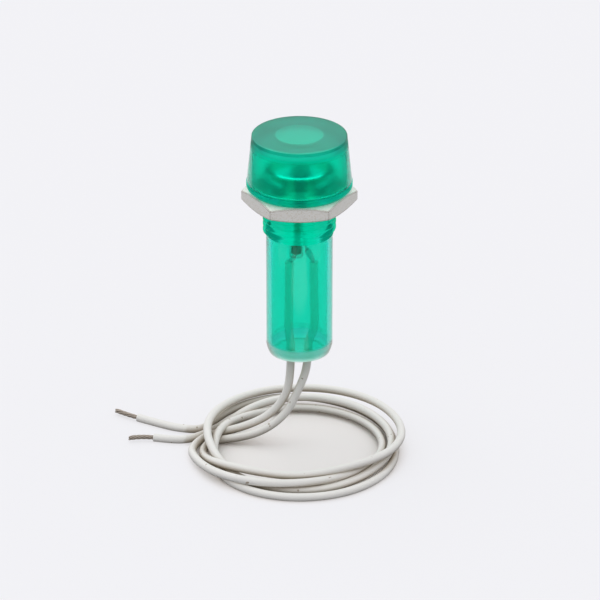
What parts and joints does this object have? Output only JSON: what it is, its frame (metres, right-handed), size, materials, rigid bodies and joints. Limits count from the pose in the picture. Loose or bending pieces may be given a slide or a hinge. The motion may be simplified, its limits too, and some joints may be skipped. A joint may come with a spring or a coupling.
{
  "type": "panel mount indicator light",
  "caption": "Panel mount indicator light: tapered translucent lens cap, flanged threaded barrel with hex nut, lamp and resistor inside, and white leads in a loose coil.",
  "frame": {"origin": "on the barrel's axis, at the flange's underside, which is the face that rests on the panel", "axes": "+Z along the axis towards the lens; the leads hang down towards -Z; two nut flats face +Y and -Y"},
  "size_m": [0.052, 0.0386, 0.0594],
  "materials": {
    "lens_green": "translucent green, polished",
    "body_green": "translucent green, moulded",
    "nickel_plate": "dull nickel plate over turned steel",
    "lamp_glass": "clear glass",
    "electrode_metal": "dark nickel",
    "tinned_wire": "tinned copper",
    "solder": "dull solder",
    "resistor_coat": "dark lacquer",
    "sleeve_grey": "grey translucent sleeving",
    "lead_white": "white PVC insulation",
    "seal_resin": "cured resin",
    "bare_strands": "tinned copper strands"
  },
  "bodies": {
    "root": {"lens_cap": "lens_green", "threaded_body": "body_green", "hex_nut": "nickel_plate", "lamp_envelope": "lamp_glass", "electrode_a": "electrode_metal", "electrode_b": "electrode_metal", "lamp_lead_a": "tinned_wire", "lamp_lead_b": "tinned_wire", "solder_joint": "solder", "resistor_body": "resistor_coat", "resistor_lead_upper": "tinned_wire", "resistor_lead_lower": "tinned_wire", "resistor_sleeve": "sleeve_grey", "strands_a": "tinned_wire", "strands_b": "tinned_wire", "splice_a": "solder", "splice_b": "solder", "inner_lead_a": "lead_white", "inner_lead_b": "lead_white", "end_seal": "seal_resin", "lead_a_drop": "lead_white", "lead_b_drop": "lead_white", "lead_coil": "lead_white", "lead_a_tail": "lead_white", "lead_b_tail": "lead_white", "conductor_a": "bare_strands", "conductor_b": "bare_strands"}
  },
  "joints": []
}
